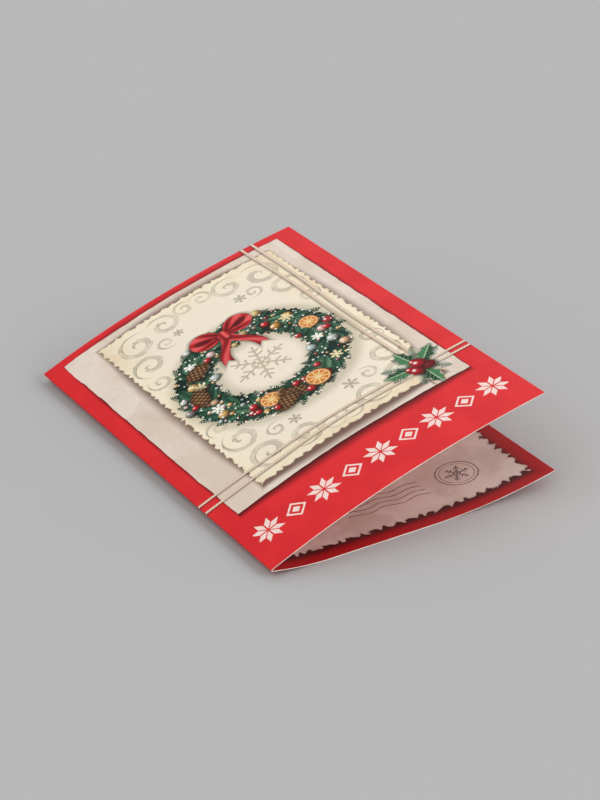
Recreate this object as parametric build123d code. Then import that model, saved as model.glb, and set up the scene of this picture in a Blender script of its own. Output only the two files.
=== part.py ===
"""A single-fold greeting card of portrait format, lying on its back page with the cover sprung part open.

The card is one sheet of board, scored and folded once. Its section is the same from foot to head: the back
page curls up a little at both ends and rests on the flat strip between them, the fold is a tight bend, and
the cover rises from the fold and bows over towards the opening edge.

Frame: +X from the fold to the opening edge, +Y from the foot of the card to its head, +Z up.
The origin is at the centre of the footprint, on the surface that the card rests on. Millimetres and degrees.
"""

import os
from math import radians

from build123d import *

# The sheet
page_width = 120.0  # from the fold to the opening edge, measured along the board
page_height = 180.0  # along the fold
board_thickness = 0.3  # coated art board of about 300 g/m2
fold_inner_radius = 0.2  # the inside of the scored fold

# How the back page lies, from its opening edge to the fold
back_edge_angle = 13.0  # how steeply it leaves the surface at the opening edge
back_rest_length = 42.0  # the flat strip that it rests on
back_curl_length = 24.0  # from that strip to the fold
back_fold_angle = 12.1  # how steeply it climbs to the fold

# How the cover stands, from the fold to its opening edge
cover_fold_angle = 24.7  # how steeply it leaves the fold
cover_near_length = 60.0  # the half beside the fold, which bows a little more
cover_near_bow_angle = 7.6  # how far that half bows over
cover_far_bow_angle = 5.7  # how far the half beside the opening edge bows over

# What follows from those sizes
fold_radius = fold_inner_radius + board_thickness / 2
fold_turn = 180 - back_fold_angle - cover_fold_angle
fold_length = fold_radius * radians(fold_turn)
page_run = page_width - fold_length / 2
back_lift_length = page_run - back_rest_length - back_curl_length
cover_far_length = page_run - cover_near_length

# The middle of the board's section, from the back page's opening edge to the cover's, as runs of
# (length, turn to the right). Each run is tangent to the one before it.
board_runs = [
    (back_lift_length, back_edge_angle),
    (back_rest_length, 0),
    (back_curl_length, back_fold_angle),
    (fold_length, fold_turn),
    (cover_near_length, cover_near_bow_angle),
    (cover_far_length, cover_far_bow_angle),
]
start_heading = 180 + back_edge_angle  # towards the fold, and down to the surface


def board_face(side):
    """One face of the board in section, `side` to the left of its middle, as tangent arcs and lines."""
    heading = Vector(1, 0).rotate(Axis.Z, start_heading)
    point = heading.rotate(Axis.Z, 90) * side
    edges = []
    for length, turn in board_runs:
        if turn:
            radius = length / radians(turn) + side
            edge = JernArc(point, heading, radius, -turn)
        else:
            edge = Line(point, point + heading * length)
        edges.append(edge)
        point = edge @ 1
        heading = edge % 1
    return edges


def card_section():
    """The closed outline of the folded board, resting on the X axis and centred on the Y axis."""
    outer = board_face(board_thickness / 2)
    inner = board_face(-board_thickness / 2)
    back_cut = Line(outer[0] @ 0, inner[0] @ 0)
    cover_cut = Line(outer[-1] @ 1, inner[-1] @ 1)
    section = make_face([*outer, cover_cut, *inner, back_cut])
    box = section.bounding_box()
    return Pos(-box.center().X, -box.min.Y) * section


def folded_sheet():
    """The whole card, with its section carried from the head to the foot."""
    head = Plane.XZ.offset(-page_height / 2)
    return extrude(head * card_section(), page_height)


os.makedirs("parts", exist_ok=True)
export_step(folded_sheet(), "parts/folded_sheet.step")
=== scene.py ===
"""A folded greeting card, lying on its back page with the cover sprung part open.

The card is one sheet of printed board. Its shape is one mesh, worked out from the same bends as the board's
section. Its print is drawn by shader nodes over the flat sheet, in millimetres: x runs from the fold, over
the cover where it is positive and the back page where it is negative, and y runs from the foot to the head.
"""

import bpy
import numpy as np
from mathutils import Matrix, Vector


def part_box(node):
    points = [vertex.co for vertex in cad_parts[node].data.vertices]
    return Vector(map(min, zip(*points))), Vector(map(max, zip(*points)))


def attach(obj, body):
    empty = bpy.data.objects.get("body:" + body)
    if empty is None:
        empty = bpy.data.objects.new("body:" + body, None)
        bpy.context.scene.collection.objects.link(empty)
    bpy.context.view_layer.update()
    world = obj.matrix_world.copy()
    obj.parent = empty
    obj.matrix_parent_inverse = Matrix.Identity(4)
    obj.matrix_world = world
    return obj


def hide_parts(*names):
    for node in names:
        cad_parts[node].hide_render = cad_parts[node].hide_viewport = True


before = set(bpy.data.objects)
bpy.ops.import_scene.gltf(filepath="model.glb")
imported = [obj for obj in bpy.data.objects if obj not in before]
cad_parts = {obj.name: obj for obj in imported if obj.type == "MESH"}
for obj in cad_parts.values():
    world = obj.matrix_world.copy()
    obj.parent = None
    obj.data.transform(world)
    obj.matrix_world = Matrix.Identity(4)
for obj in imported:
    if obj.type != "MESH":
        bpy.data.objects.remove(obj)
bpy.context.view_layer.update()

# The folded board
# One sheet of 300 g/m2 art board, cut square, scored down its middle and folded once. It has sprung open: the
# back page curls up at both ends of the strip that it rests on, and the cover bows over as it rises.
MM = 0.001
BOARD_THICKNESS = 0.3
FOLD_INNER_RADIUS = 0.2
PAGE_WIDTH = 120.0
BACK_EDGE_ANGLE = 13.0
BACK_REST_LENGTH = 42.0
BACK_CURL_LENGTH = 24.0
BACK_FOLD_ANGLE = 12.1
COVER_FOLD_ANGLE = 24.7
COVER_NEAR_LENGTH = 60.0
COVER_NEAR_BOW = 7.6
COVER_FAR_BOW = 5.7
PAGE_STEPS = 60  # columns of the mesh over each page
FOLD_STEPS = 16  # columns round the fold
HEIGHT_STEPS = 90  # rows from the foot to the head
SHARP_ANGLE = 30.0  # between two faces, from which their edge shows
COVER_FINISH, PLAIN_FINISH, INNER_FINISH, CUT_FINISH = range(4)

fold_turn = 180 - BACK_FOLD_ANGLE - COVER_FOLD_ANGLE
fold_length = (FOLD_INNER_RADIUS + BOARD_THICKNESS / 2) * np.radians(fold_turn)
page_run = PAGE_WIDTH - fold_length / 2
sheet_length = 2 * page_run + fold_length
board_runs = np.array([
    (page_run - BACK_REST_LENGTH - BACK_CURL_LENGTH, BACK_EDGE_ANGLE),
    (BACK_REST_LENGTH, 0),
    (BACK_CURL_LENGTH, BACK_FOLD_ANGLE),
    (fold_length, fold_turn),
    (COVER_NEAR_LENGTH, COVER_NEAR_BOW),
    (page_run - COVER_NEAR_LENGTH, COVER_FAR_BOW),
])
card_low, card_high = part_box("folded_sheet")


def board_section(distance, side):
    """Points of the board's section, in mm, at distances along its middle from the back page's opening edge.

    The middle is a chain of arcs, each tangent to the last. A point on an arc of length l that has turned by
    t lies l * sin(t / 2) / (t / 2) from the arc's start, along the heading there less t / 2. The face lies
    `side` to the left of the middle, at right angles to the heading.
    """
    lengths, turns = board_runs[:, 0], np.radians(board_runs[:, 1])
    starts = np.concatenate([[0], np.cumsum(lengths)[:-1]])
    headings = np.pi + turns[0] - np.concatenate([[0], np.cumsum(turns)[:-1]])

    def arc_chord(length, turned, heading):
        chord = length * np.sinc(turned / 2 / np.pi)
        return np.stack([chord * np.cos(heading - turned / 2), chord * np.sin(heading - turned / 2)], -1)

    corners = np.concatenate([np.zeros((1, 2)), np.cumsum(arc_chord(lengths, turns, headings), 0)[:-1]])
    run = np.clip(np.searchsorted(starts, distance, side="right") - 1, 0, len(starts) - 1)
    part = distance - starts[run]
    turned = turns[run] * part / lengths[run]
    heading = headings[run] - turned
    left = np.stack([-np.sin(heading), np.cos(heading)], -1)
    return corners[run] + arc_chord(part, turned, headings[run]) + side * left


def folded_board():
    """The board as one closed mesh: a grid of the section's outline by the height, and two cut ends."""
    distance = np.concatenate([
        np.linspace(0, page_run, PAGE_STEPS, endpoint=False),
        np.linspace(page_run, page_run + fold_length, FOLD_STEPS, endpoint=False),
        np.linspace(page_run + fold_length, sheet_length, PAGE_STEPS + 1),
    ])
    outer = board_section(distance, BOARD_THICKNESS / 2)
    inner = board_section(distance[::-1], -BOARD_THICKNESS / 2)
    outline = np.concatenate([outer, inner])
    outline += (card_low.x / MM, card_low.z / MM) - outline.min(0)
    from_fold = np.concatenate([distance, distance[::-1]]) - sheet_length / 2
    height = np.linspace(0, (card_high.y - card_low.y) / MM, HEIGHT_STEPS + 1)

    columns, rows, across = len(outline), len(height), len(distance)
    place = np.zeros((rows, columns, 3))
    place[..., 0], place[..., 2] = outline[:, 0] * MM, outline[:, 1] * MM
    place[..., 1] = card_low.y + height[:, None] * MM
    flat = np.stack(np.broadcast_arrays(from_fold, height[:, None]), -1).reshape(-1, 2)

    here = np.arange(columns)
    there = (here + 1) % columns
    up = np.arange(rows - 1)[:, None] * columns
    walls = np.stack([up + here, up + there, up + there + columns, up + here + columns], -1).reshape(-1, 4)
    near, far = here[:across - 1], here[1:across]
    cut = np.stack([near, far, columns - 1 - far, columns - 1 - near], -1)
    faces = np.concatenate([walls, cut[:, ::-1], cut + (rows - 1) * columns])

    # Round the outline come the outer face, the cover's cut edge, the inner face and the other cut edge.
    on_cover = from_fold[:across - 1] + from_fold[1:across] > 0
    outer_face = np.where(on_cover, COVER_FINISH, PLAIN_FINISH)
    inner_face = np.where(on_cover[::-1], PLAIN_FINISH, INNER_FINISH)
    finish = np.concatenate([outer_face, [CUT_FINISH], inner_face, [CUT_FINISH]])
    finish = np.concatenate([np.tile(finish, rows - 1), np.full(2 * len(cut), CUT_FINISH)])

    mesh = bpy.data.meshes.new("folded_card")
    mesh.from_pydata(place.reshape(-1, 3), [], faces)
    mesh.polygons.foreach_set("material_index", finish.astype(np.int32))
    flat_places = mesh.uv_layers.new(name="sheet_mm").uv
    flat_places.foreach_set("vector", flat[faces.ravel()].astype(np.float32).ravel())
    mesh.shade_smooth()
    mesh.set_sharp_from_angle(angle=np.radians(SHARP_ANGLE))
    return mesh


def put(name, data):
    """Puts an object into the scene."""
    thing = bpy.data.objects.new(name, data)
    bpy.context.scene.collection.objects.link(thing)
    return thing


card = put("folded_card", folded_board())
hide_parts("folded_sheet")
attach(card, "root")

# The red ground
# Offset-printed red over the whole sheet, with a silk dispersion coat: an even colour, a soft sheen and
# hardly any tooth.
GROUND_RED = "#E83034"
GROUND_RED_DEEP = "#E02B30"
COAT_ROUGHNESS = 0.5
COAT_SHEEN = 0.11  # the specular level, low because a silk coat hardly mirrors
TOOTH_SIZE = 0.5  # the grain of the coat's surface, drawn a few times coarser than a real one
TOOTH_DEPTH = 0.004
HABITS = {  # how nodes are set unless a call says otherwise
    "MapRange": {"interpolation_type": "SMOOTHSTEP", "clamp": False},
    "Mix": {"data_type": "RGBA"},
    "TexNoise": {"noise_dimensions": "2D"},
}


def ink(code):
    """A colour written as sRGB hex, turned to linear light, with an alpha of 1."""
    part = np.array([int(code[i:i + 2], 16) for i in (1, 3, 5)]) / 255
    return (*np.where(part <= 0.04045, part / 12.92, ((part + 0.055) / 1.055) ** 2.4), 1.0)


def add(tree, kind, *values, out=0, stops=(), **settings):
    """Adds a node, sets it up, fills its inputs in order, and returns its output.

    A kind such as VectorMath.ADD holds its operation, and one in capitals is an operation of Math. A value is
    a link, a number, a vector or an ink, and stops are a colour ramp's places and inks.
    """
    if kind.isupper():
        kind = "Math." + kind
    kind, _, operation = kind.partition(".")
    node = tree.nodes.new("ShaderNode" + kind)
    if operation:
        node.operation = operation
    for name, setting in {**HABITS.get(kind, {}), **settings}.items():
        setattr(node, name, setting)
    for number, (spot, colour) in enumerate(stops):
        stop = node.color_ramp.elements[number] if number < 2 else node.color_ramp.elements.new(spot)
        stop.position, stop.color = spot, ink(colour)
    for socket, value in zip([s for s in node.inputs if s.enabled], values):
        if isinstance(value, bpy.types.NodeSocket):
            tree.links.new(value, socket)
        else:
            socket.default_value = ink(value) if isinstance(value, str) else value
    return [s for s in node.outputs if s.enabled][out]


def new_finish(name, roughness, sheen):
    """A material with only a Principled shader, and its node tree."""
    material = bpy.data.materials.new(name)
    material.use_nodes = True
    shader = material.node_tree.nodes["Principled BSDF"]
    shader.inputs["Roughness"].default_value = roughness
    shader.inputs["Specular IOR Level"].default_value = sheen
    return material, material.node_tree


def lay(tree, under, over, amount, share=None):
    """Lays one colour over another, by an amount or by a share of it."""
    if share is not None:
        amount = add(tree, "MULTIPLY", amount, share)
    return add(tree, "Mix", amount, under, over)


def wash(tree, under, over, value, *levels, share=None):
    """Lays one colour over another, by an amount that follows a value as the levels of a MapRange say."""
    return lay(tree, under, over, add(tree, "MapRange", value, *levels), share)


def patches(tree, point, noise, *levels):
    """Soft patches: noise of a scale, detail and roughness, and two of its levels with what they turn to."""
    return add(tree, "MapRange", add(tree, "TexNoise", point, *noise), *levels)


def red_ground(tree):
    """The red, a little uneven. Returns it, and the place on the flat sheet as a vector and as a point.

    Both are the UV map's millimetres, so a texture's scale is in features to the mm. Arithmetic takes the
    vector and textures take the point, so that no link needs a conversion, which would make so large a shader
    too big to compile.
    """
    point = add(tree, "UVMap", uv_map="sheet_mm")
    vector = add(tree, "Attribute", attribute_name="sheet_mm", out=1)
    mottle = patches(tree, point, (0.06, 3.0, 0.5), 0.35, 0.65)
    colour = add(tree, "Mix", mottle, GROUND_RED_DEEP, GROUND_RED)
    return colour, vector, point


def silk_coat(tree, colour):
    """Prints the colour, and gives the coat its fine tooth."""
    shader = tree.nodes["Principled BSDF"]
    tree.links.new(colour, shader.inputs["Base Color"])
    grain = add(tree, "TexNoise", add(tree, "UVMap", uv_map="sheet_mm"), 1 / TOOTH_SIZE, 2.0, 0.6)
    tooth = add(tree, "Bump")
    tooth.node.inputs["Distance"].default_value = TOOTH_DEPTH * MM
    tree.links.new(grain, tooth.node.inputs["Height"])
    tree.links.new(tooth, shader.inputs["Normal"])


silk_print, cover = new_finish("silk_coated_cover_print", COAT_ROUGHNESS, COAT_SHEEN)
card.data.materials.append(silk_print)
colour, sheet, spot = red_ground(cover)

# The mat
# A printed panel of aged wrapping paper, greyish beige, blotched and faintly creased, with edges that aren't
# quite straight. Its soft printed shadow falls on the red, tight at its corners and wide below its foot.
MAT_CENTRE = (59.4, 105.2)
MAT_SIZE = (103.8, 140.4)
MAT_SHADE_CENTRE = (59.4, 104.05)
MAT_SHADE_SIZE = (103.8, 141.1)
MAT_SHADE_ENDS = (-1.8, -0.8)  # the room where it ends beside the middle of a side, and at a corner
FOOT_SHADE_RATE = 0.36  # a mm past its foot counts only so much, so it reaches further there
MAT_WANDER = 1.1  # how far its edges wander, from the innermost to the outermost
MAT_RIMS = ((0.1, 0.6, 0.6, "#EFE3D6"),)  # from, to, strength and ink
FACET_SIZE = 26.0


def split(tree, place, turn=0.0):
    """The two coordinates of a place along axes that are turned by an angle in radians."""
    axes = (np.cos(turn), np.sin(turn), 0), (-np.sin(turn), np.cos(turn), 0)
    return [add(tree, "VectorMath.DOT_PRODUCT", place, axis) for axis in axes]


def placed(tree, place, centre, turn=0.0, size=(1.0, 1.0)):
    """A place as a motif sees it: less its centre, turned back by its turn, and divided by its size."""
    local = add(tree, "VectorMath.SUBTRACT", place, (*centre, 0))
    if turn:
        local = add(tree, "CombineXYZ", *split(tree, local, turn))
    if size != (1.0, 1.0):
        local = add(tree, "VectorMath.MULTIPLY", local, (1 / size[0], 1 / size[1], 0))
    return local


def panel_room(tree, place, centre, size):
    """How far a place is inside an upright rectangle, in mm, and below 0 outside it.

    Half the size less |place - centre| is the room to the nearest upright and level sides, and the smaller of
    the two is the room to the edge. All three are returned, the edge's first.
    """
    reach = add(tree, "VectorMath.ABSOLUTE", placed(tree, place, centre))
    room = add(tree, "VectorMath.SUBTRACT", (size[0] / 2, size[1] / 2, 0), reach)
    upright, level = split(tree, room)
    return add(tree, "MINIMUM", upright, level), upright, level


def laid_paper(tree, colour, paper, room, rims):
    """Lays printed paper over a colour where its room is above 0, with the ink of each rim along its edge."""
    for start, end, strength, code in rims:
        paper = wash(tree, paper, code, room, start, end, strength, 0.0)
    return wash(tree, colour, paper, room, -0.1, 0.1)


_, upright, level = panel_room(cover, sheet, MAT_SHADE_CENTRE, MAT_SHADE_SIZE)
level = add(cover, "MULTIPLY", level, FOOT_SHADE_RATE)
shade = add(cover, "MINIMUM", upright, level)

# Across times up, from -1 to 1 over the mat, and squared: 0 on both middle lines and 1 at the corners.
corner = placed(cover, sheet, MAT_CENTRE, size=(MAT_SIZE[0] / 2, MAT_SIZE[1] / 2))
across_mat, up_mat = split(cover, corner)
corner = add(cover, "MULTIPLY", across_mat, up_mat)
corner = add(cover, "MULTIPLY", corner, corner)
shade_end = add(cover, "MapRange", corner, 0.2, 1.0, *MAT_SHADE_ENDS)
colour = wash(cover, colour, "#3E080C", shade, shade_end, 0.6, 0.0, 0.97)

room = panel_room(cover, sheet, MAT_CENTRE, MAT_SIZE)[0]
uneven = add(cover, "TexNoise", spot, 0.09, 3.0, 0.5)
room = add(cover, "MULTIPLY_ADD", uneven, MAT_WANDER, room)
room = add(cover, "SUBTRACT", room, MAT_WANDER / 2)
blotch = patches(cover, spot, (0.045, 5.0, 0.6), 0.36, 0.64)
paper = add(cover, "Mix", blotch, "#E7D4C2", "#F0E1D3")
# It was crumpled once: its facets differ a little in tone, and pale creases come and go between them.
facet = add(cover, "TexVoronoi", spot, 1 / FACET_SIZE, voronoi_dimensions="2D", out=1)
facet = add(cover, "SeparateColor", facet)
paper = wash(cover, paper, "#C4AE9C", facet, 0.0, 1.0, 0.0, 0.16)
crease = add(cover, "TexVoronoi", spot, 1 / FACET_SIZE, voronoi_dimensions="2D", feature="DISTANCE_TO_EDGE")
paper = wash(cover, paper, "#F8EEE3", crease, 0.0, 0.025, 0.5, 0.0, share=blotch)
colour = laid_paper(cover, colour, paper, room, MAT_RIMS)

# The cream sheet
# A printed sheet of old deckle-edged paper on the mat: cream in its middle, toasted towards its edges, with
# brown bitten rims. Its corners lie down and its sides lift, so its shadow is deepest beside their middles.
SHEET_CENTRE = (63.0, 105.5)
SHEET_SIZE = (84.0, 130.0)
SHEET_SHADE_CENTRE = (62.5, 104.3)
SHEET_SHADE_SIZE = (81.0, 130.0)
SHEET_SHADE_ENDS = (-5.4, -2.4)
SHEET_DECKLE = (4.3, 1.0)  # the pitch and the depth of its bites
SHEET_RIMS = ((0.0, 0.7, 0.5, "#C9A777"), (0.0, 0.3, 0.6, "#7E5B3C"))


def deckled_room(tree, place, point, centre, size, pitch, depth):
    """How far a place is inside a sheet with a deckle edge, in mm, and below 0 outside it.

    Along each side the edge is bitten in by depth * sin(pi * along / pitch)^2. Noise pulls the places along
    the side by up to about a pitch first, and finer noise frays the edge by up to about a third of the depth,
    so no two bites are alike.
    """
    pull = add(tree, "TexNoise", point, 0.6 / pitch, 2.0, 0.5)
    pull = add(tree, "MULTIPLY", pull, 1.6 * pitch)
    bites = add(tree, "VectorMath", place, add(tree, "CombineXYZ", pull, pull))
    bites = add(tree, "VectorMath.SCALE", bites, np.pi / pitch)
    bites = add(tree, "VectorMath.SINE", bites)
    bites = add(tree, "VectorMath.MULTIPLY", bites, bites)
    along_level, along_upright = split(tree, bites)
    _, upright, level = panel_room(tree, place, centre, size)
    upright = add(tree, "MULTIPLY_ADD", along_upright, -depth, upright)
    level = add(tree, "MULTIPLY_ADD", along_level, -depth, level)
    room = add(tree, "MINIMUM", upright, level)
    fray = add(tree, "TexNoise", point, 3.0 / pitch, 1.0, 0.5)
    fray = add(tree, "SUBTRACT", fray, 0.5)
    return add(tree, "MULTIPLY_ADD", fray, 1.1 * depth, room)


shade_end = add(cover, "MapRange", corner, 0.0, 0.42, *SHEET_SHADE_ENDS)
room = panel_room(cover, sheet, SHEET_SHADE_CENTRE, SHEET_SHADE_SIZE)[0]
colour = wash(cover, colour, "#5A2612", room, shade_end, 0.3, 0.0, 0.85)

room = deckled_room(cover, sheet, spot, SHEET_CENTRE, SHEET_SIZE, *SHEET_DECKLE)
toast = add(cover, "MapRange", room, 0.0, 20.0, 1.0, 0.0)
paper = add(cover, "Mix", toast, "#FAEEDA", "#FDF1D6")
stain = patches(cover, spot, (0.035, 6.0, 0.6), 0.45, 0.75, 0.0, 0.45)
paper = lay(cover, paper, "#E6C596", stain, toast)
paper = wash(cover, paper, "#E6C49C", corner, 0.15, 0.55, 0.0, 0.4)
colour = laid_paper(cover, colour, paper, room, SHEET_RIMS)

# The corner scrolls
# Faded grey-beige scrollwork printed on the cream sheet, drawn once and mirrored into its four corners:
# spiral plumes with lobes along their backs, a thin outline and pointed ends.
SCROLL_INK = "#A0927E"
SCROLL_WINDS = 1.45  # turns of a plume between its middle and its radius
SCROLL_PLUMES = (  # from the sheet's centre: middle, radius, and the turn and hand of each plume
    ((29.5, 51.8), 9.0, 2.4, 1), ((32.4, 36.0), 8.0, -1.3, -1), ((15.0, 54.5), 7.6, 0.4, -1),
    ((35.0, 22.5), 5.4, 1.1, 1), ((20.8, 43.0), 4.4, -2.4, -1), ((4.4, 57.3), 5.2, 2.8, 1),
)


def polar(tree, local):
    """The bearing of a place from the middle, in radians from x towards y, and its distance."""
    x, y = split(tree, local)
    return add(tree, "ARCTAN2", y, x), add(tree, "VectorMath.LENGTH", local)


def plume_cover(tree, place, centre, radius, turn, hand):
    """How dark one spiral plume is at a place: 1 on its outline, about a half inside it and 0 outside.

    With r the distance in radii and b the bearing, w = SCROLL_WINDS * r - b / 2 pi + 1 / 2 is a whole number
    along the plume's middle line, and its distance from that number is the place's offset, positive outwards.
    The half width grows with r and closes at the radius. The outer one has lobes at even steps of r^2, as
    the length of a spiral grows with r^2.
    """
    bearing, reach = polar(tree, placed(tree, place, centre, turn, (radius, hand * radius)))
    wound = add(tree, "MULTIPLY_ADD", bearing, -0.5 / np.pi, 0.5)
    wound = add(tree, "MULTIPLY_ADD", reach, SCROLL_WINDS, wound)
    offset = add(tree, "SUBTRACT", wound, add(tree, "ROUND", wound))
    width = add(tree, "MapRange", reach, 0.1, 0.7, 0.07, 0.24)
    closing = add(tree, "MapRange", reach, 0.6, 1.1, 1.0, 0.0)
    width = add(tree, "MULTIPLY", width, closing)
    lobes = add(tree, "MULTIPLY", add(tree, "MULTIPLY", reach, reach), 3.2 * radius)
    lobes = add(tree, "ABSOLUTE", add(tree, "SINE", lobes))
    lobes = add(tree, "MULTIPLY_ADD", lobes, 0.95, 0.75)
    outer = add(tree, "MULTIPLY", width, lobes)
    outer = add(tree, "SUBTRACT", outer, offset)
    inner = add(tree, "ADD", width, offset)
    room = add(tree, "MINIMUM", outer, inner)
    inked = add(tree, "MapRange", room, 0.0, 0.03)
    filled = add(tree, "MapRange", room, 0.03, 0.09, 1.0, 0.5)
    inside = add(tree, "MapRange", reach, 1.08, 1.1, 1.0, 0.0)
    inked = add(tree, "MULTIPLY", inked, inside)
    return add(tree, "MULTIPLY", inked, filled)


quarter = add(cover, "VectorMath.ABSOLUTE", placed(cover, sheet, SHEET_CENTRE))
scrolls = 0.0
for centre, radius, turn, hand in SCROLL_PLUMES:
    plume = plume_cover(cover, quarter, centre, radius, turn, hand)
    scrolls = add(cover, "MAXIMUM", plume, scrolls)
faded = patches(cover, spot, (0.12, 3.0, 0.6), 0.35, 0.6, 0.45, 0.95)
colour = lay(cover, colour, SCROLL_INK, scrolls, faded)

# The twine
# Two pairs of printed flax twine, one across the card and one down it from its head to the mat's foot. Each
# strand is a twist of pale yarn with a soft shadow under it, and each pair sways a little apart and together.
TWINE_LEVEL = 49.3
TWINE_UPRIGHT = 99.6
TWINE_GAP = 4.2
TWINE_THICKNESS = 1.15
TWIST_PITCH = 1.5
SWAY_WIDTH, SWAY_LENGTH = 0.35, 13.0  # of a pair's waves from side to side, the length to a radian
SPREAD_WIDTH, SPREAD_LENGTH = 0.5, 31.0  # of its waves apart and together


def apart(tree, one, two):
    """How far apart two numbers are."""
    return add(tree, "ABSOLUTE", add(tree, "SUBTRACT", one, two))


def twine_pair(tree, colour, along, across, limit):
    """Paints two strands over a colour.

    Across is folded about the pair's middle, so |across| - gap / 2 is the distance from the nearer strand's
    middle, where the gap is TWINE_GAP with slow waves. A strand darkens with that distance, and its twist is
    stripes of along + 1.3 * distance.
    """
    sway = add(tree, "SINE", add(tree, "MULTIPLY", along, 1 / SWAY_LENGTH))
    across = add(tree, "MULTIPLY_ADD", sway, SWAY_WIDTH, across)
    spread = add(tree, "COSINE", add(tree, "MULTIPLY", along, 1 / SPREAD_LENGTH))
    spread = add(tree, "MULTIPLY_ADD", spread, SPREAD_WIDTH, TWINE_GAP / 2)
    shade = add(tree, "ABSOLUTE", add(tree, "ADD", across, 0.7))
    shade = apart(tree, shade, spread)
    colour = wash(tree, colour, "#5A2A22", shade, 0.3, 1.3, 0.55, 0.0, share=limit)
    off = add(tree, "SUBTRACT", add(tree, "ABSOLUTE", across), spread)
    twist = add(tree, "MULTIPLY_ADD", off, 1.3, along)
    twist = add(tree, "PINGPONG", twist, TWIST_PITCH / 2)
    yarn = wash(tree, "#DDBFA2", "#F8E7D5", twist, 0.0, TWIST_PITCH / 2)
    side = add(tree, "ABSOLUTE", off)
    yarn = wash(tree, yarn, "#B18A70", side, TWINE_THICKNESS * 0.25, TWINE_THICKNESS * 0.55, 0.0, 0.75)
    edge = TWINE_THICKNESS * 0.42, TWINE_THICKNESS * 0.58
    return wash(tree, colour, yarn, side, *edge, 1.0, 0.0, share=limit)


across_card, up_card = split(cover, sheet)
mat_foot = MAT_CENTRE[1] - MAT_SIZE[1] / 2
limit = add(cover, "MapRange", up_card, mat_foot, mat_foot + 0.6)
from_line = add(cover, "SUBTRACT", across_card, TWINE_UPRIGHT)
colour = twine_pair(cover, colour, up_card, from_line, limit)
from_line = add(cover, "SUBTRACT", up_card, TWINE_LEVEL)
colour = twine_pair(cover, colour, across_card, from_line, 1.0)

# The wreath's greenery
# A printed wreath of fir: a dark body, and five rings of twigs with paler needles on it, which lap over each
# other like shingles and lean out of both its edges.
WREATH_CENTRE = (60.2, 103.0)
WREATH_SHADE_CENTRE = (61.0, 101.6)
WREATH_RADIUS = 27.0
WREATH_BAND = 8.8  # mm from the ring's middle line to the outermost balls
NEEDLE_PITCH = 1.15
NEEDLE_SLANT = 0.8
TWIGS_DROPPED = 0.08
FIR_RINGS = (  # mm out of the ring's middle line, lean, twigs, half length, reach, deep tone and tip
    (5.0, 52, 28, 6.6, 2.7, "#12332A", "#4F8A66"), (-5.2, -55, 20, 5.8, 2.5, "#12332A", "#4A8260"),
    (3.2, 34, 21, 6.8, 2.8, "#184432", "#6CA781"), (-3.2, -32, 15, 6.0, 2.6, "#184432", "#64A07A"),
    (0.3, 6, 14, 7.6, 2.8, "#1C4D38", "#97C69B"),
)


def needles(tree, colour, along, across, length, reach, deep, tip, limit):
    """Paints one fir twig over a colour, about its own middle, with its tip at along = length.

    The needles reach out from the stem by reach * (1 - t^2), where t is along / length. They are stripes of
    along - slant * |across|, so they slant towards the tip. Each narrows and pales from the stem outwards.
    """
    side = add(tree, "ABSOLUTE", across)
    part = add(tree, "MULTIPLY", along, 1 / length)
    part = add(tree, "MULTIPLY", part, part)
    room = add(tree, "MULTIPLY_ADD", part, -reach, reach)
    room = add(tree, "SUBTRACT", room, side)
    inked = add(tree, "MapRange", room, 0.0, 0.3)
    stripe = add(tree, "MULTIPLY_ADD", side, -NEEDLE_SLANT, along)
    stripe = add(tree, "PINGPONG", stripe, NEEDLE_PITCH / 2)
    stripe = add(tree, "MULTIPLY_ADD", side, -NEEDLE_PITCH * 0.28 / reach, stripe)
    stripe = add(tree, "MapRange", stripe, 0.0, NEEDLE_PITCH * 0.2)
    inked = add(tree, "MULTIPLY", inked, stripe)
    tone = wash(tree, deep, tip, side, 0.0, reach)
    return lay(tree, colour, tone, inked, limit)


def chances(tree, index):
    """Three values that chance draws for an index, each from 0 to 1."""
    drawn = add(tree, "TexWhiteNoise", index, noise_dimensions="1D", out=1)
    return add(tree, "SeparateColor", drawn, out=slice(3))


def fir_ring(tree, colour, bearing, from_centre, number, row):
    """Lays one ring of twigs over a colour, with their tips clockwise.

    With s the way round the ring and o the way out from its row of middles, the cells are s - o / tan(lean)
    cut at every pitch, so their sides run along the twigs. Chance moves and turns each twig, and drops a few.
    A ring's number shifts its cells round and gives it chances of its own.
    """
    out, lean, count, length, reach, deep, tip = row
    middle = WREATH_RADIUS + out
    pitch = 2 * np.pi * middle / count
    lean = np.radians(lean)
    skew = 1 / np.tan(lean) / pitch if abs(lean) > 0.3 else 0.0
    outwards = add(tree, "SUBTRACT", from_centre, middle)
    cell = add(tree, "MULTIPLY_ADD", bearing, count / (2 * np.pi), 0.37 * number)
    cell = add(tree, "MULTIPLY_ADD", outwards, -skew, cell)
    index = add(tree, "ADD", add(tree, "FLOOR", cell), 40.0 * number)
    moved, turned, kept = chances(tree, index)
    part = add(tree, "FRACT", cell)
    part = add(tree, "MULTIPLY_ADD", moved, -0.3, part)
    along = add(tree, "MULTIPLY_ADD", part, pitch, -0.35 * pitch)
    along = add(tree, "MULTIPLY_ADD", outwards, skew * pitch, along)
    turned = add(tree, "MULTIPLY_ADD", turned, 0.5, -lean - 0.25)
    local = add(tree, "CombineXYZ", along, outwards)
    cosine = add(tree, "COSINE", turned)
    sine = add(tree, "SINE", turned)
    across = add(tree, "VectorMath.DOT_PRODUCT", local, add(tree, "CombineXYZ", sine, cosine))
    sine = add(tree, "MULTIPLY", sine, -1.0)
    along = add(tree, "VectorMath.DOT_PRODUCT", local, add(tree, "CombineXYZ", cosine, sine))
    kept = add(tree, "GREATER_THAN", kept, TWIGS_DROPPED)
    return needles(tree, colour, along, across, length, reach, deep, tip, kept)


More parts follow.
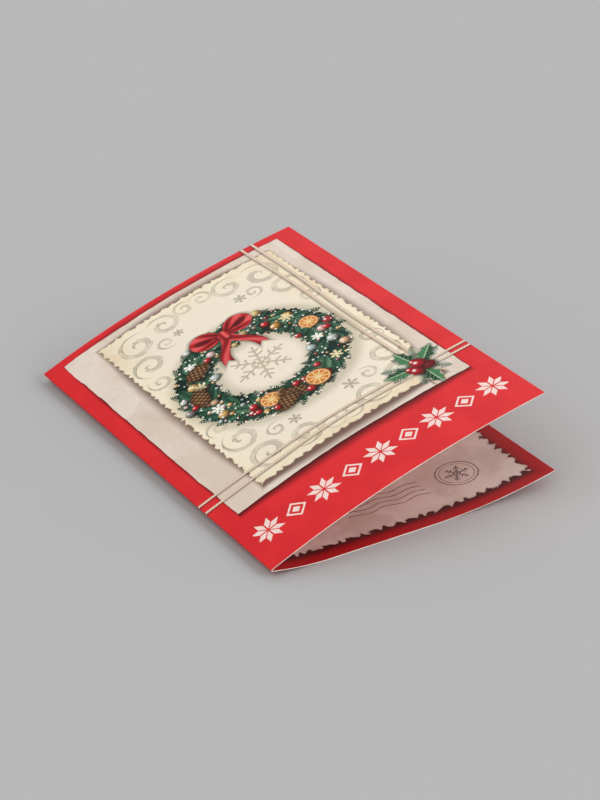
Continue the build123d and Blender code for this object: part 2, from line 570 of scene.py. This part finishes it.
shade = add(cover, "VectorMath.DISTANCE", sheet, (*WREATH_SHADE_CENTRE, 0))
shade = apart(cover, shade, WREATH_RADIUS)
colour = wash(cover, colour, "#A89F80", shade, 8.0, 14.0, 0.5, 0.0)

local = placed(cover, sheet, WREATH_CENTRE)
x, y = split(cover, local)
clock_bearing = add(cover, "ARCTAN2", x, y)
from_centre = add(cover, "VectorMath.LENGTH", local)
body = apart(cover, from_centre, WREATH_RADIUS)
ragged = add(cover, "TexNoise", spot, 0.5, 3.0, 0.6)
body = add(cover, "MULTIPLY_ADD", ragged, 5.0, body)
colour = wash(cover, colour, "#0E2820", body, 9.8, 10.6, 1.0, 0.0)
for number, row in enumerate(FIR_RINGS, 1):
    colour = fir_ring(cover, colour, clock_bearing, from_centre, number, row)

# The wreath's trimmings
# Printed glass balls, points of light, snowflakes, dried orange slices and fir cones on the greenery, one
# large pale snowflake in its middle, and small ones round it.
BALL_TONES = ((0.0, "#C8322F"), (0.2, "#8E1B22"), (0.3, "#E0A54A"), (0.5, "#EBD08A"), (0.6, "#E7A6A0"),
              (0.75, "#F5F0EA"), (0.88, "#AFC6C0"), (1.0, "#7B2A33"))
BALL_SETS = ((4.4, 0.5, 1.1, 0.5, 2), (6.6, 1.1, 2.4, 0.3, 1))  # spacing, radii, bare share, seed
LIGHT_SET = (2.9, 0.26, 0.42, 0.45, 3)
TRIM_SHADE, GILT, SNOW = "#1A1612", "#F3E3B0", "#FFFDF2"
RING_FLAKES = (  # hour, mm out of the ring's middle line, radius and ink
    (1.7, 2, 3.0, GILT), (3.3, -3, 2.6, SNOW), (4.4, 3, 2.8, GILT),
    (8.3, 1, 3.0, SNOW), (9.6, -2, 2.7, GILT), (10.6, 3, 2.6, SNOW),
)
MIDDLE_FLAKE_RADIUS = 12.5
SHEET_FLAKES = (((50.0, 61.5), 3.0), ((75.5, 62.0), 3.6), ((49.0, 150.0), 2.4), ((77.5, 148.5), 3.0))
FLAKE_TWIGS = ((0.2, 0.13), (0.45, 0.24), (0.7, 0.17))  # where they leave an arm, and their reach, in radii
ORANGE_SLICES = ((5.35, 1.5, 5.2, 0.2), (6.75, -1.5, 4.6, 0.9), (2.45, 1.0, 4.2, 0.5))  # radius and turn last
FIR_CONES = ((6.1, 0.5, 2.7), (6.4, 3.5, 0.5), (9.1, 0.5, 1.3), (10.35, -1.0, 0.4))
RED_BALLS = (
    (5.75, 4.2, 1.9), (5.85, -3.6, 1.7), (6.65, 4.8, 1.6), (7.25, 0.5, 1.9), (7.1, 4.0, 1.5),
    (4.85, -3.0, 1.6), (1.15, -1.5, 1.9), (10.9, -3.0, 1.7), (8.9, 4.5, 1.6), (3.05, 3.0, 1.8),
)


def ball(tree, colour, local, scale, tone, limit=1.0):
    """Paints a glossy ball over a colour, where local is the place from its middle and scale is 1 / radius.

    A soft shadow falls to the lower right, the tone darkens with the distance from a point at the upper left,
    and a white glint lies there.
    """
    local = add(tree, "VectorMath.SCALE", local, scale)
    shade = add(tree, "VectorMath.DISTANCE", local, (0.2, -0.3, 0.0))
    colour = wash(tree, colour, TRIM_SHADE, shade, 0.8, 1.45, 0.7, 0.0, share=limit)
    lit = add(tree, "VectorMath.DISTANCE", local, (-0.35, 0.4, 0.0))
    dulled = add(tree, "MapRange", lit, 0.3, 1.45, 0.0, 0.9)
    tone = add(tree, "Mix", dulled, tone, "#4A3430", blend_type="MULTIPLY")
    tone = wash(tree, tone, "#FFFFFF", lit, 0.08, 0.38, 0.85, 0.0)
    reach = add(tree, "VectorMath.LENGTH", local)
    return wash(tree, colour, tone, reach, 0.88, 1.02, 1.0, 0.0, share=limit)


def strewn(tree, place, spacing, smallest, largest, bare, seed):
    """Strews round spots over the wreath, one in each cell of a turned square grid, moved by chance.

    Returns the place from the spot's middle in mm, its radius, a chance value for its tone, and a limit that
    is 0 where the cell is bare or its spot isn't on the wreath. A spot of radius r moves at most spacing / 2
    less r, so its cell doesn't cut it. The seed turns the grid and gives the set chances of its own.
    """
    turn = 0.6 * seed
    grid = placed(tree, place, WREATH_CENTRE, turn, (spacing, spacing))
    index = add(tree, "VectorMath.FLOOR", grid)
    index = add(tree, "VectorMath.DOT_PRODUCT", index, (3.17, 57.31, 0.0))
    index = add(tree, "ADD", index, 211.3 * seed)
    x, y, size = chances(tree, index)
    radius = add(tree, "MapRange", size, 0.0, 1.0, smallest, largest)
    free = add(tree, "MULTIPLY_ADD", radius, -2 / spacing, 1.0)
    middle = placed(tree, add(tree, "CombineXYZ", x, y), (0.5, 0.5))
    middle = add(tree, "VectorMath.SCALE", middle, free)
    middle = add(tree, "VectorMath", middle, (0.5, 0.5, 0.0))
    local = add(tree, "VectorMath.SUBTRACT", add(tree, "VectorMath.FRACTION", grid), middle)
    local = add(tree, "VectorMath.SCALE", local, spacing)
    local = add(tree, "CombineXYZ", *split(tree, local, -turn))
    middle = add(tree, "VectorMath.SUBTRACT", place, local)
    from_ring = add(tree, "VectorMath.DISTANCE", middle, (*WREATH_CENTRE, 0))
    from_ring = apart(tree, from_ring, WREATH_RADIUS)
    limit = add(tree, "LESS_THAN", from_ring, WREATH_BAND)
    hue, shown, _ = chances(tree, add(tree, "ADD", index, 0.47))
    shown = add(tree, "GREATER_THAN", shown, bare)
    limit = add(tree, "MULTIPLY", limit, shown)
    return local, radius, hue, limit


for ball_set in BALL_SETS:
    local, radius, hue, limit = strewn(cover, sheet, *ball_set)
    tone = add(cover, "ValToRGB", hue, stops=BALL_TONES)
    colour = ball(cover, colour, local, add(cover, "DIVIDE", 1.0, radius), tone, limit)
local, radius, _, limit = strewn(cover, sheet, *LIGHT_SET)
reach = add(cover, "DIVIDE", add(cover, "VectorMath.LENGTH", local), radius)
colour = wash(cover, colour, "#FFFBEC", reach, 0.8, 1.6, 1.0, 0.0, share=limit)


def flake_cover(tree, place, centre, radius, turn, stroke):
    """How much of a place a six-armed snowflake covers, 0 to 1.

    The bearing is folded at every 30 degrees, so one half of one arm stands for all twelve. In radii, the arm
    lies along x, and each side twig leaves it at a start s and 60 degrees: a place's distance from such a
    line is (x - s) * sin 60 - y * cos 60.
    """
    bearing, reach = polar(tree, placed(tree, place, centre, turn, (radius, radius)))
    folded = add(tree, "PINGPONG", bearing, np.pi / 6)
    along = add(tree, "MULTIPLY", add(tree, "COSINE", folded), reach)
    aside = add(tree, "MULTIPLY", add(tree, "SINE", folded), reach)
    half = stroke / radius / 2
    arm = add(tree, "MapRange", aside, half * 0.7, half * 1.3, 1.0, 0.0)
    inked = add(tree, "MULTIPLY", arm, add(tree, "LESS_THAN", reach, 1.0))
    for start, length in FLAKE_TWIGS:
        off = add(tree, "MULTIPLY_ADD", along, np.sin(np.pi / 3), -start * np.sin(np.pi / 3))
        off = add(tree, "MULTIPLY_ADD", aside, -np.cos(np.pi / 3), off)
        off = add(tree, "ABSOLUTE", off)
        off = add(tree, "MapRange", off, half * 0.7, half * 1.3, 1.0, 0.0)
        short = add(tree, "LESS_THAN", aside, length)
        inked = add(tree, "MAXIMUM", add(tree, "MULTIPLY", off, short), inked)
    return inked


def on_ring(clock, out):
    """The place at an hour of a clock face on the wreath's ring, and so far out of its middle line."""
    turn = np.radians(clock * 30)
    reach = WREATH_RADIUS + out
    return WREATH_CENTRE[0] + reach * np.sin(turn), WREATH_CENTRE[1] + reach * np.cos(turn)


for clock, out, radius, code in RING_FLAKES:
    flake = flake_cover(cover, sheet, on_ring(clock, out), radius, clock, 0.5)
    colour = lay(cover, colour, code, flake)
flake = flake_cover(cover, sheet, WREATH_CENTRE, MIDDLE_FLAKE_RADIUS, 0.3, 0.9)
colour = lay(cover, colour, "#B7A98E", flake, 0.75)
for centre, radius in SHEET_FLAKES:
    flake = flake_cover(cover, sheet, centre, radius, 0.2, 0.5)
    colour = lay(cover, colour, "#A99C86", flake, 0.8)


def orange_slice(tree, colour, place, centre, radius, turn):
    """Paints a dried slice over a colour.

    In radii, a place at r whose bearing is folded at every 20 degrees to b lies b * r from the nearest of
    nine pale skins. Outside 0.8 is pith and outside 0.9 is rind.
    """
    local = placed(tree, place, centre, turn, (radius, radius))
    shade = add(tree, "VectorMath.DISTANCE", local, (0.15, -0.2, 0.0))
    colour = wash(tree, colour, TRIM_SHADE, shade, 0.85, 1.3, 0.6, 0.0)
    bearing, reach = polar(tree, local)
    folded = add(tree, "PINGPONG", bearing, np.pi / 9)
    skin = add(tree, "MULTIPLY", folded, reach)
    flesh = add(tree, "MapRange", skin, 0.01, 0.09)
    pulp = add(tree, "ValToRGB", reach, stops=((0.1, "#F0B45C"), (0.75, "#D9771E")))
    tone = add(tree, "Mix", flesh, "#F3D7A0", pulp)
    tone = wash(tree, tone, "#F1D49A", reach, 0.76, 0.83)
    tone = wash(tree, tone, "#B9561A", reach, 0.86, 0.93)
    return wash(tree, colour, tone, reach, 0.95, 1.03, 1.0, 0.0)


def fir_cone(tree, colour, place, centre, turn):
    """Paints a fir cone over a colour: an ellipse of scales, 12 mm long.

    The scales are the cells between two sets of slanting lines, at ax + by and ax - by. The fractions of both
    run from a scale's root to its tip, so their mean shades it, and the nearer line darkens its edge.
    """
    local = placed(tree, place, centre, turn)
    shade = add(tree, "VectorMath", local, (-0.2, 1.0, 0.0))
    shade = add(tree, "VectorMath.MULTIPLY", shade, (1 / 6.6, 1 / 4.3, 0))
    shade = add(tree, "VectorMath.LENGTH", shade)
    colour = wash(tree, colour, TRIM_SHADE, shade, 0.8, 1.25, 0.7, 0.0)
    one = add(tree, "VectorMath.DOT_PRODUCT", local, (0.45, 0.36, 0))
    two = add(tree, "VectorMath.DOT_PRODUCT", local, (0.45, -0.36, 0))
    edge_one = add(tree, "PINGPONG", one, 0.5)
    edge_two = add(tree, "PINGPONG", two, 0.5)
    near = add(tree, "MINIMUM", edge_one, edge_two)
    one = add(tree, "FRACT", one)
    two = add(tree, "FRACT", two)
    tip = add(tree, "ADD", one, two)
    tone = add(tree, "ValToRGB", add(tree, "MULTIPLY", tip, 0.5),
               stops=((0.1, "#3A2114"), (0.55, "#7C5130"), (0.85, "#D2A874")))
    tone = wash(tree, tone, "#21120B", near, 0.02, 0.16, 0.8, 0.0)
    reach = add(tree, "VectorMath.MULTIPLY", local, (1 / 6.2, 1 / 3.9, 0))
    reach = add(tree, "VectorMath.LENGTH", reach)
    tone = wash(tree, tone, "#2A170E", reach, 0.4, 1.0, 0.0, 0.55)
    reach = add(tree, "MULTIPLY_ADD", near, -0.35, reach)
    return wash(tree, colour, tone, reach, 0.88, 0.94, 1.0, 0.0)


for clock, out, radius, turn in ORANGE_SLICES:
    colour = orange_slice(cover, colour, sheet, on_ring(clock, out), radius, turn)
for clock, out, turn in FIR_CONES:
    colour = fir_cone(cover, colour, sheet, on_ring(clock, out), turn)
for clock, out, radius in RED_BALLS:
    colour = ball(cover, colour, placed(cover, sheet, on_ring(clock, out)), 1 / radius, "#D2262B")

# The bow
# A printed satin bow over the wreath's head: two tails cut to swallow ends, two loops whose hollows show the
# ribbon's darker back, and the knot.
BOW_PLACE = (WREATH_CENTRE[0], WREATH_CENTRE[1] + WREATH_RADIUS + 2.0)
RIBBON_WIDTH = 4.6
TAIL_LENGTH = 19.0
TAIL_SPREAD = 0.42  # how far a tail runs out for each mm down
LOOP_LENGTH = 14.5
LOOP_LEAN = 0.33  # radians up from level
LOOP_NARROWNESS = 1.75
HOLLOW_CENTRE, HOLLOW_SIZE = (8.6, 2.6), (4.1, 1.9)  # half its length and width
KNOT_RADIUS = 2.7
RIBBON_LIT, RIBBON_RED, RIBBON_DEEP = "#E8605F", "#C3272B", "#6E1016"


def ribbon(tree, colour, room, light):
    """Paints ribbon over a colour where room, the distance inside its outline in mm, is above 0.

    Light runs from 0, in the folds, to 1, on the crests, and a soft shadow reaches 2 mm out of the outline.
    """
    colour = wash(tree, colour, "#2A1512", room, -2.0, 0.2, 0.0, 0.5)
    tone = add(tree, "ValToRGB", light, stops=((0.0, RIBBON_DEEP), (0.5, RIBBON_RED), (1.0, RIBBON_LIT)))
    tone = wash(tree, tone, RIBBON_DEEP, room, 0.1, 0.5, 0.5, 0.0)
    return wash(tree, colour, tone, room, -0.08, 0.12)


local = placed(cover, sheet, BOW_PLACE)
x, y = split(cover, local)
aside = add(cover, "ABSOLUTE", x)
run = add(cover, "MULTIPLY_ADD", y, -TAIL_SPREAD, 0.6)
sway = add(cover, "SINE", add(cover, "MULTIPLY", y, 0.36))
run = add(cover, "MULTIPLY_ADD", sway, 0.9, run)
off = add(cover, "SUBTRACT", aside, run)
light = add(cover, "MULTIPLY_ADD", off, 1.1, add(cover, "MULTIPLY", y, 0.33))
light = add(cover, "SINE", light)
light = add(cover, "MapRange", light, -1.0, 1.0, 0.15, 0.9)
side_room = add(cover, "ABSOLUTE", off)
side_room = add(cover, "SUBTRACT", RIBBON_WIDTH / 2, side_room)
end_room = add(cover, "ADD", y, TAIL_LENGTH)
end_room = add(cover, "MULTIPLY_ADD", side_room, -1.1, end_room)
room = add(cover, "MINIMUM", side_room, end_room)
below = add(cover, "MULTIPLY", y, -1.0)
room = add(cover, "MINIMUM", room, below)
colour = ribbon(cover, colour, room, light)

# A loop's outline is a petal: its length times the square root of cos(narrowness * (bearing - lean)).
mirrored = add(cover, "CombineXYZ", aside, y)
bearing, reach = polar(cover, mirrored)
petal = add(cover, "MULTIPLY_ADD", bearing, LOOP_NARROWNESS, -LOOP_LEAN * LOOP_NARROWNESS)
petal = add(cover, "MAXIMUM", add(cover, "COSINE", petal), 0.0)
petal = add(cover, "MULTIPLY", add(cover, "SQRT", petal), LOOP_LENGTH)
room = add(cover, "SUBTRACT", petal, reach)
light = add(cover, "SINE", add(cover, "MULTIPLY", bearing, 13.0))
light = add(cover, "MapRange", light, -1.0, 1.0, 0.1, 0.75)
far = add(cover, "MapRange", reach, 3.0, LOOP_LENGTH, -0.25, 0.35)
light = add(cover, "ADD", light, far)
colour = ribbon(cover, colour, room, light)
hollow = placed(cover, mirrored, HOLLOW_CENTRE, LOOP_LEAN, HOLLOW_SIZE)
hollow = add(cover, "VectorMath.LENGTH", hollow)
colour = wash(cover, colour, "#5C0C12", hollow, 0.75, 1.0, 0.9, 0.0)
knot = add(cover, "VectorMath.MULTIPLY", local, (1.0, 0.86, 0))
room = add(cover, "SUBTRACT", KNOT_RADIUS, add(cover, "VectorMath.LENGTH", knot))
light = add(cover, "SINE", add(cover, "MULTIPLY_ADD", x, 1.9, 0.9))
light = add(cover, "MapRange", light, -1.0, 1.0, 0.2, 1.0)
colour = ribbon(cover, colour, room, light)

# The holly
# A printed sprig where the twines cross: frosted fir twigs behind, toothed glossy leaves, and red berries.
HOLLY_PLACE = (TWINE_UPRIGHT - 0.5, TWINE_LEVEL + 0.5)
LEAF_LENGTH, LEAF_WIDTH = 15.5, 7.6
TOOTH_CUT = 0.38  # the share of its half width by which a leaf is cut in between its teeth
VEIN_PITCH = 2.2
FROST_TWIGS = ((2.6, 15.5), (3.25, 13.5), (1.25, 15.0), (0.5, 14.0), (4.3, 13.0), (5.5, 12.5), (2.0, 13.5))
HOLLY_LEAVES = (2.95, 1.75, 0.75, 4.75)
BERRIES = ((-0.3, 3.9, 2.2), (-4.0, 0.6, 2.1), (-2.2, -1.8, 3.0), (2.9, -1.2, 2.8), (0.8, 2.0, 3.1))


def holly_leaf(tree, colour, place, centre, turn):
    """Paints a leaf over a colour, from its stalk at the centre along the turn.

    At the part t of its length its half width is W * sin(pi t) * (1 - cut * |sin(4 pi t)|), which leaves a
    tooth at each quarter. The half below the midrib is darker, and side veins slant off it.
    """
    along, across = split(tree, placed(tree, place, centre), turn)
    part = add(tree, "MAXIMUM", along, 0.0)
    part = add(tree, "MINIMUM", part, LEAF_LENGTH)
    swell = add(tree, "SINE", add(tree, "MULTIPLY", part, np.pi / LEAF_LENGTH))
    teeth = add(tree, "MULTIPLY", part, 4 * np.pi / LEAF_LENGTH)
    teeth = add(tree, "ABSOLUTE", add(tree, "SINE", teeth))
    teeth = add(tree, "MULTIPLY_ADD", teeth, -TOOTH_CUT * LEAF_WIDTH / 2, LEAF_WIDTH / 2)
    swell = add(tree, "MULTIPLY", swell, teeth)
    side = add(tree, "ABSOLUTE", across)
    room = add(tree, "SUBTRACT", swell, side)
    in_length = add(tree, "MapRange", swell, 0.0, 0.5)
    colour = wash(tree, colour, "#2B231C", room, -1.3, 0.2, 0.0, 0.5, share=in_length)
    tone = wash(tree, "#17402C", "#3C7B4E", across, -0.4, 0.4)
    vein = add(tree, "MULTIPLY_ADD", side, -1.1, along)
    vein = add(tree, "PINGPONG", vein, VEIN_PITCH / 2)
    tone = wash(tree, tone, "#8DB58A", vein, 0.0, 0.5, 0.4, 0.0)
    tone = wash(tree, tone, "#B9D2A8", side, 0.1, 0.4, 0.8, 0.0)
    return wash(tree, colour, tone, room, 0.04, 0.24)


for turn, length in FROST_TWIGS:
    centre = (HOLLY_PLACE[0] + length / 2 * np.cos(turn), HOLLY_PLACE[1] + length / 2 * np.sin(turn))
    along, across = split(cover, placed(cover, sheet, centre), turn)
    colour = needles(cover, colour, along, across, length / 2, 3.2, "#4F6B58", "#D3DCCB", 1.0)
for turn in HOLLY_LEAVES:
    colour = holly_leaf(cover, colour, sheet, HOLLY_PLACE, turn)
for aside, above, radius in BERRIES:
    centre = (HOLLY_PLACE[0] + aside, HOLLY_PLACE[1] + above)
    colour = ball(cover, colour, placed(cover, sheet, centre), 1 / radius, "#B5121B")

# The foot band
# A knitting border along the cover's foot, in a pinkish white: eight-petal stars and pierced diamonds by
# turns.
BAND_HEIGHT = 18.0
BAND_PITCH = 24.8  # from star to star
BAND_FIRST = 10.4  # from the fold to the first star
BAND_ENDS = (5.0, 115.0)
PETAL_WIDTH, PETAL_REACH, PETAL_GAP = 2.7, 3.3, 0.3
DIAMOND_REACH = 4.4
GROOVE_REACH, GROOVE_HALF_WIDTH = 2.55, 0.75  # of the red line round a diamond's middle
SLANT = 0.7  # about cos 45, which turns a difference of distances to a distance


def petal_room(tree, aside, above):
    """How far a place is inside an eight-petal star, in mm, where aside and above are its distances.

    With a the larger and b the smaller of the two, the petal between an axis and a diagonal is a rhomboid: b
    runs from 0 to the petal's width, and a - b from 0 to its reach, less the gap on the two inner sides.
    """
    larger = add(tree, "MAXIMUM", aside, above)
    smaller = add(tree, "MINIMUM", aside, above)
    slant = add(tree, "SUBTRACT", larger, smaller)
    room = add(tree, "SUBTRACT", smaller, PETAL_GAP)
    room = add(tree, "MINIMUM", room, add(tree, "SUBTRACT", PETAL_WIDTH, smaller))
    inner = add(tree, "MULTIPLY_ADD", slant, SLANT, -SLANT * PETAL_GAP)
    room = add(tree, "MINIMUM", room, inner)
    outer = add(tree, "MULTIPLY_ADD", slant, -SLANT, SLANT * PETAL_REACH)
    return add(tree, "MINIMUM", room, outer)


def cut_to(tree, amount, place, ends):
    """An amount, made 0 where the place isn't between two ends."""
    for end, side in zip(ends, ("GREATER_THAN", "LESS_THAN")):
        within = add(tree, side, place, end)
        amount = add(tree, "MULTIPLY", amount, within)
    return amount


above = apart(cover, up_card, BAND_HEIGHT)
aside = add(cover, "SUBTRACT", across_card, BAND_FIRST)
aside = add(cover, "PINGPONG", aside, BAND_PITCH / 2)
stars = petal_room(cover, aside, above)
aside = add(cover, "SUBTRACT", BAND_PITCH / 2, aside)
diagonal = add(cover, "ADD", aside, above)
pierced = apart(cover, diagonal, GROOVE_REACH)
pierced = add(cover, "SUBTRACT", pierced, GROOVE_HALF_WIDTH)
diamonds = add(cover, "SUBTRACT", DIAMOND_REACH, diagonal)
diamonds = add(cover, "MINIMUM", diamonds, pierced)
room = add(cover, "MAXIMUM", stars, diamonds)
inked = add(cover, "MapRange", room, -0.08, 0.08)
inked = cut_to(cover, inked, across_card, BAND_ENDS)
worn = add(cover, "TexNoise", spot, 0.5, 4.0, 0.6)
white = add(cover, "Mix", worn, "#FFF1EA", "#FED2C8")
colour = lay(cover, colour, white, inked)

silk_coat(cover, colour)

# The plain pages
# The outer back page and the inner left page carry only the red ground and its coat.
plain_print, plain = new_finish("silk_coated_red_print", COAT_ROUGHNESS, COAT_SHEEN)
card.data.materials.append(plain_print)
silk_coat(plain, red_ground(plain)[0])

# The inner right page
# The same red and coat, with a large printed sheet of old deckle-edged paper for the greeting: pinkish grey,
# with bitten brown rims. The red is darkened all over and most towards the sheet: painted shade for the dim
# light between the pages. A narrow printed shadow follows the sheet's edge. A round mark and wavy lines in
# dark brown stand at its foot.
INNER_CENTRE = (-59.8, 90.0)
INNER_SIZE = (109.4, 166.4)
INNER_SHADE_CENTRE = (-59.8, 89.0)
INNER_SHADE_SIZE = (106.8, 165.6)
INNER_DECKLE = (5.0, 1.8)
INNER_RIMS = ((0.0, 1.2, 0.5, "#A98F7C"), (0.0, 0.3, 0.5, "#6E5040"))
MARK_INK = "#43201C"
MARK_CENTRE = (-93.0, 24.5)
MARK_RADIUS = 8.0
MARK_LINES = (-78.0, -44.0)  # the ends of the wavy lines
MARK_LINE_SPACING = 3.1
WAVE_HEIGHT, WAVE_RATE = 0.7, 0.45

inner_print, inside = new_finish("silk_coated_inner_print", COAT_ROUGHNESS, COAT_SHEEN)
card.data.materials.append(inner_print)
colour, sheet, spot = red_ground(inside)
room = deckled_room(inside, sheet, spot, INNER_CENTRE, INNER_SIZE, *INNER_DECKLE)
shade = panel_room(inside, sheet, INNER_SHADE_CENTRE, INNER_SHADE_SIZE)[0]
# Painted shade: the red is mixed three quarters of the way to a deep red, and fully near the sheet, for the
# dim light under the cover.
colour = wash(inside, colour, "#A4060C", shade, -9.0, -1.0, 0.75, 1.0)
colour = wash(inside, colour, "#3F0709", shade, -3.2, 0.9, 0.0, 0.94)

blotch = patches(inside, spot, (0.05, 6.0, 0.62), 0.36, 0.64)
paper = add(inside, "Mix", blotch, "#CEC0B2", "#DED2C6")
fleck = patches(inside, spot, (1.1, 3.0, 0.6), 0.58, 0.75, 0.0, 0.3)
paper = lay(inside, paper, "#A8968A", fleck)
colour = laid_paper(inside, colour, paper, room, INNER_RIMS)

# The mark is a snowflake within two rings, beside four wavy lines.
reach = add(inside, "VectorMath.DISTANCE", sheet, (*MARK_CENTRE, 0))
marks = flake_cover(inside, sheet, MARK_CENTRE, MARK_RADIUS * 0.66, 0.0, 0.5)
for radius, half in ((MARK_RADIUS, 0.22), (MARK_RADIUS * 0.82, 0.12)):
    ring = apart(inside, reach, radius)
    ring = add(inside, "MapRange", ring, half * 0.8, half * 1.4, 1.0, 0.0)
    marks = add(inside, "MAXIMUM", ring, marks)
across_page, up_page = split(inside, sheet)
wave = add(inside, "SINE", add(inside, "MULTIPLY", across_page, WAVE_RATE))
lines = add(inside, "SUBTRACT", up_page, MARK_CENTRE[1] - 1.5 * MARK_LINE_SPACING)
lines = add(inside, "MULTIPLY_ADD", wave, WAVE_HEIGHT, lines)
tall = apart(inside, lines, MARK_LINE_SPACING * 1.5)
tall = add(inside, "LESS_THAN", tall, MARK_LINE_SPACING * 1.8)
lines = add(inside, "PINGPONG", lines, MARK_LINE_SPACING / 2)
lines = add(inside, "MapRange", lines, 0.16, 0.3, 1.0, 0.0)
lines = add(inside, "MULTIPLY", lines, tall)
lines = cut_to(inside, lines, across_page, MARK_LINES)
marks = add(inside, "MAXIMUM", marks, lines)
worn = patches(inside, spot, (0.9, 3.0, 0.6), 0.35, 0.6, 0.55, 0.95)
silk_coat(inside, lay(inside, colour, MARK_INK, marks, worn))

# The cut edge
# Where the guillotine cut the board its bleached pulp shows: matt, almost white, and a little uneven from
# fibre to fibre. The fibres are drawn ten times as long as real ones, so that they show.
PULP_WHITE = "#F1E9E0"
PULP_DULL = "#DCD1C6"
FIBRE_LENGTH = 12.0
cut_board, edge = new_finish("cut_bleached_pulp", 0.9, 0.1)
card.data.materials.append(cut_board)
spot = add(edge, "UVMap", uv_map="sheet_mm")
fibre = patches(edge, spot, (1 / FIBRE_LENGTH, 4.0, 0.7), 0.35, 0.65)
fibre = add(edge, "Mix", fibre, PULP_DULL, PULP_WHITE)
edge.links.new(fibre, edge.nodes["Principled BSDF"].inputs["Base Color"])

# The floor, the light and the camera
# A plain pale grey floor that runs out to a wall of the same grey, under wide soft lamps: two high at the
# left and the back, three lower at the sides, and two low in front, which reach between the pages.
FLOOR_GREY = "#B8B8B8"
FLOOR_SIZE = 8.0
SKY_STRENGTH = 0.01
LAMP_SPREAD = 60.0  # degrees, so the shadows are soft
LAMPS = (  # azimuth, elevation and share of the light on the floor
    (-90, 60, 0.26), (180, 60, 0.105), (-90, 30, 0.07), (90, 30, 0.08), (135, 30, 0.17), (-45, 15, 0.07),
    (45, 15, 0.215),
)

floor_mesh = bpy.data.meshes.new("floor")
half = FLOOR_SIZE / 2
corners = [(-half, -half, 0), (half, -half, 0), (half, half, 0), (-half, half, 0)]
floor_mesh.from_pydata(corners, [], [(0, 1, 2, 3)])
floor = put("floor", floor_mesh)
floor_paint, ground = new_finish("floor_paint", 1.0, 0.0)
ground.nodes["Principled BSDF"].inputs["Base Color"].default_value = ink(FLOOR_GREY)
floor_mesh.materials.append(floor_paint)

world = bpy.data.worlds.new("sky")
bpy.context.scene.world = world
world.use_nodes = True
sky = world.node_tree
path = add(sky, "LightPath")
strength = add(sky, "Mix", path, SKY_STRENGTH, 1.0, data_type="FLOAT")
hue = add(sky, "Mix", path, (1.0, 1.0, 1.0, 1.0), FLOOR_GREY)
sky.links.new(hue, sky.nodes["Background"].inputs["Color"])
sky.links.new(strength, sky.nodes["Background"].inputs["Strength"])


def towards(azimuth, elevation):
    """The direction from the card to something seen at that azimuth, where 0 is in front, and elevation."""
    turn, lift = np.radians((azimuth, elevation))
    return Vector((np.sin(turn) * np.cos(lift), -np.cos(turn) * np.cos(lift), np.sin(lift)))


for number, (azimuth, elevation, share) in enumerate(LAMPS, 1):
    lamp = bpy.data.lights.new(f"soft_lamp_{number}", "SUN")
    lamp.energy = np.pi * share / np.sin(np.radians(elevation))
    lamp.angle = np.radians(LAMP_SPREAD)
    stand = put(lamp.name, lamp)
    stand.rotation_euler = towards(azimuth, elevation).to_track_quat("Z", "Y").to_euler()

CAMERA_TARGET = Vector((0.0169, 0.0198, 0.0))
CAMERA_AZIMUTH, CAMERA_ELEVATION, CAMERA_ROLL = -30.0, 27.19, -1.61
CAMERA_DISTANCE = 0.9856
CAMERA_LENS = 113.6  # mm, on a frame whose long side is 36 mm

camera = bpy.data.cameras.new("camera")
camera.lens = CAMERA_LENS
view = put("camera", camera)
away = towards(CAMERA_AZIMUTH, CAMERA_ELEVATION)
turned = away.to_track_quat("Z", "Y").to_matrix() @ Matrix.Rotation(np.radians(CAMERA_ROLL), 3, "Z")
view.matrix_world = Matrix.Translation(CAMERA_TARGET + away * CAMERA_DISTANCE) @ turned.to_4x4()
bpy.context.scene.camera = view
bpy.context.scene.view_settings.view_transform = "Standard"
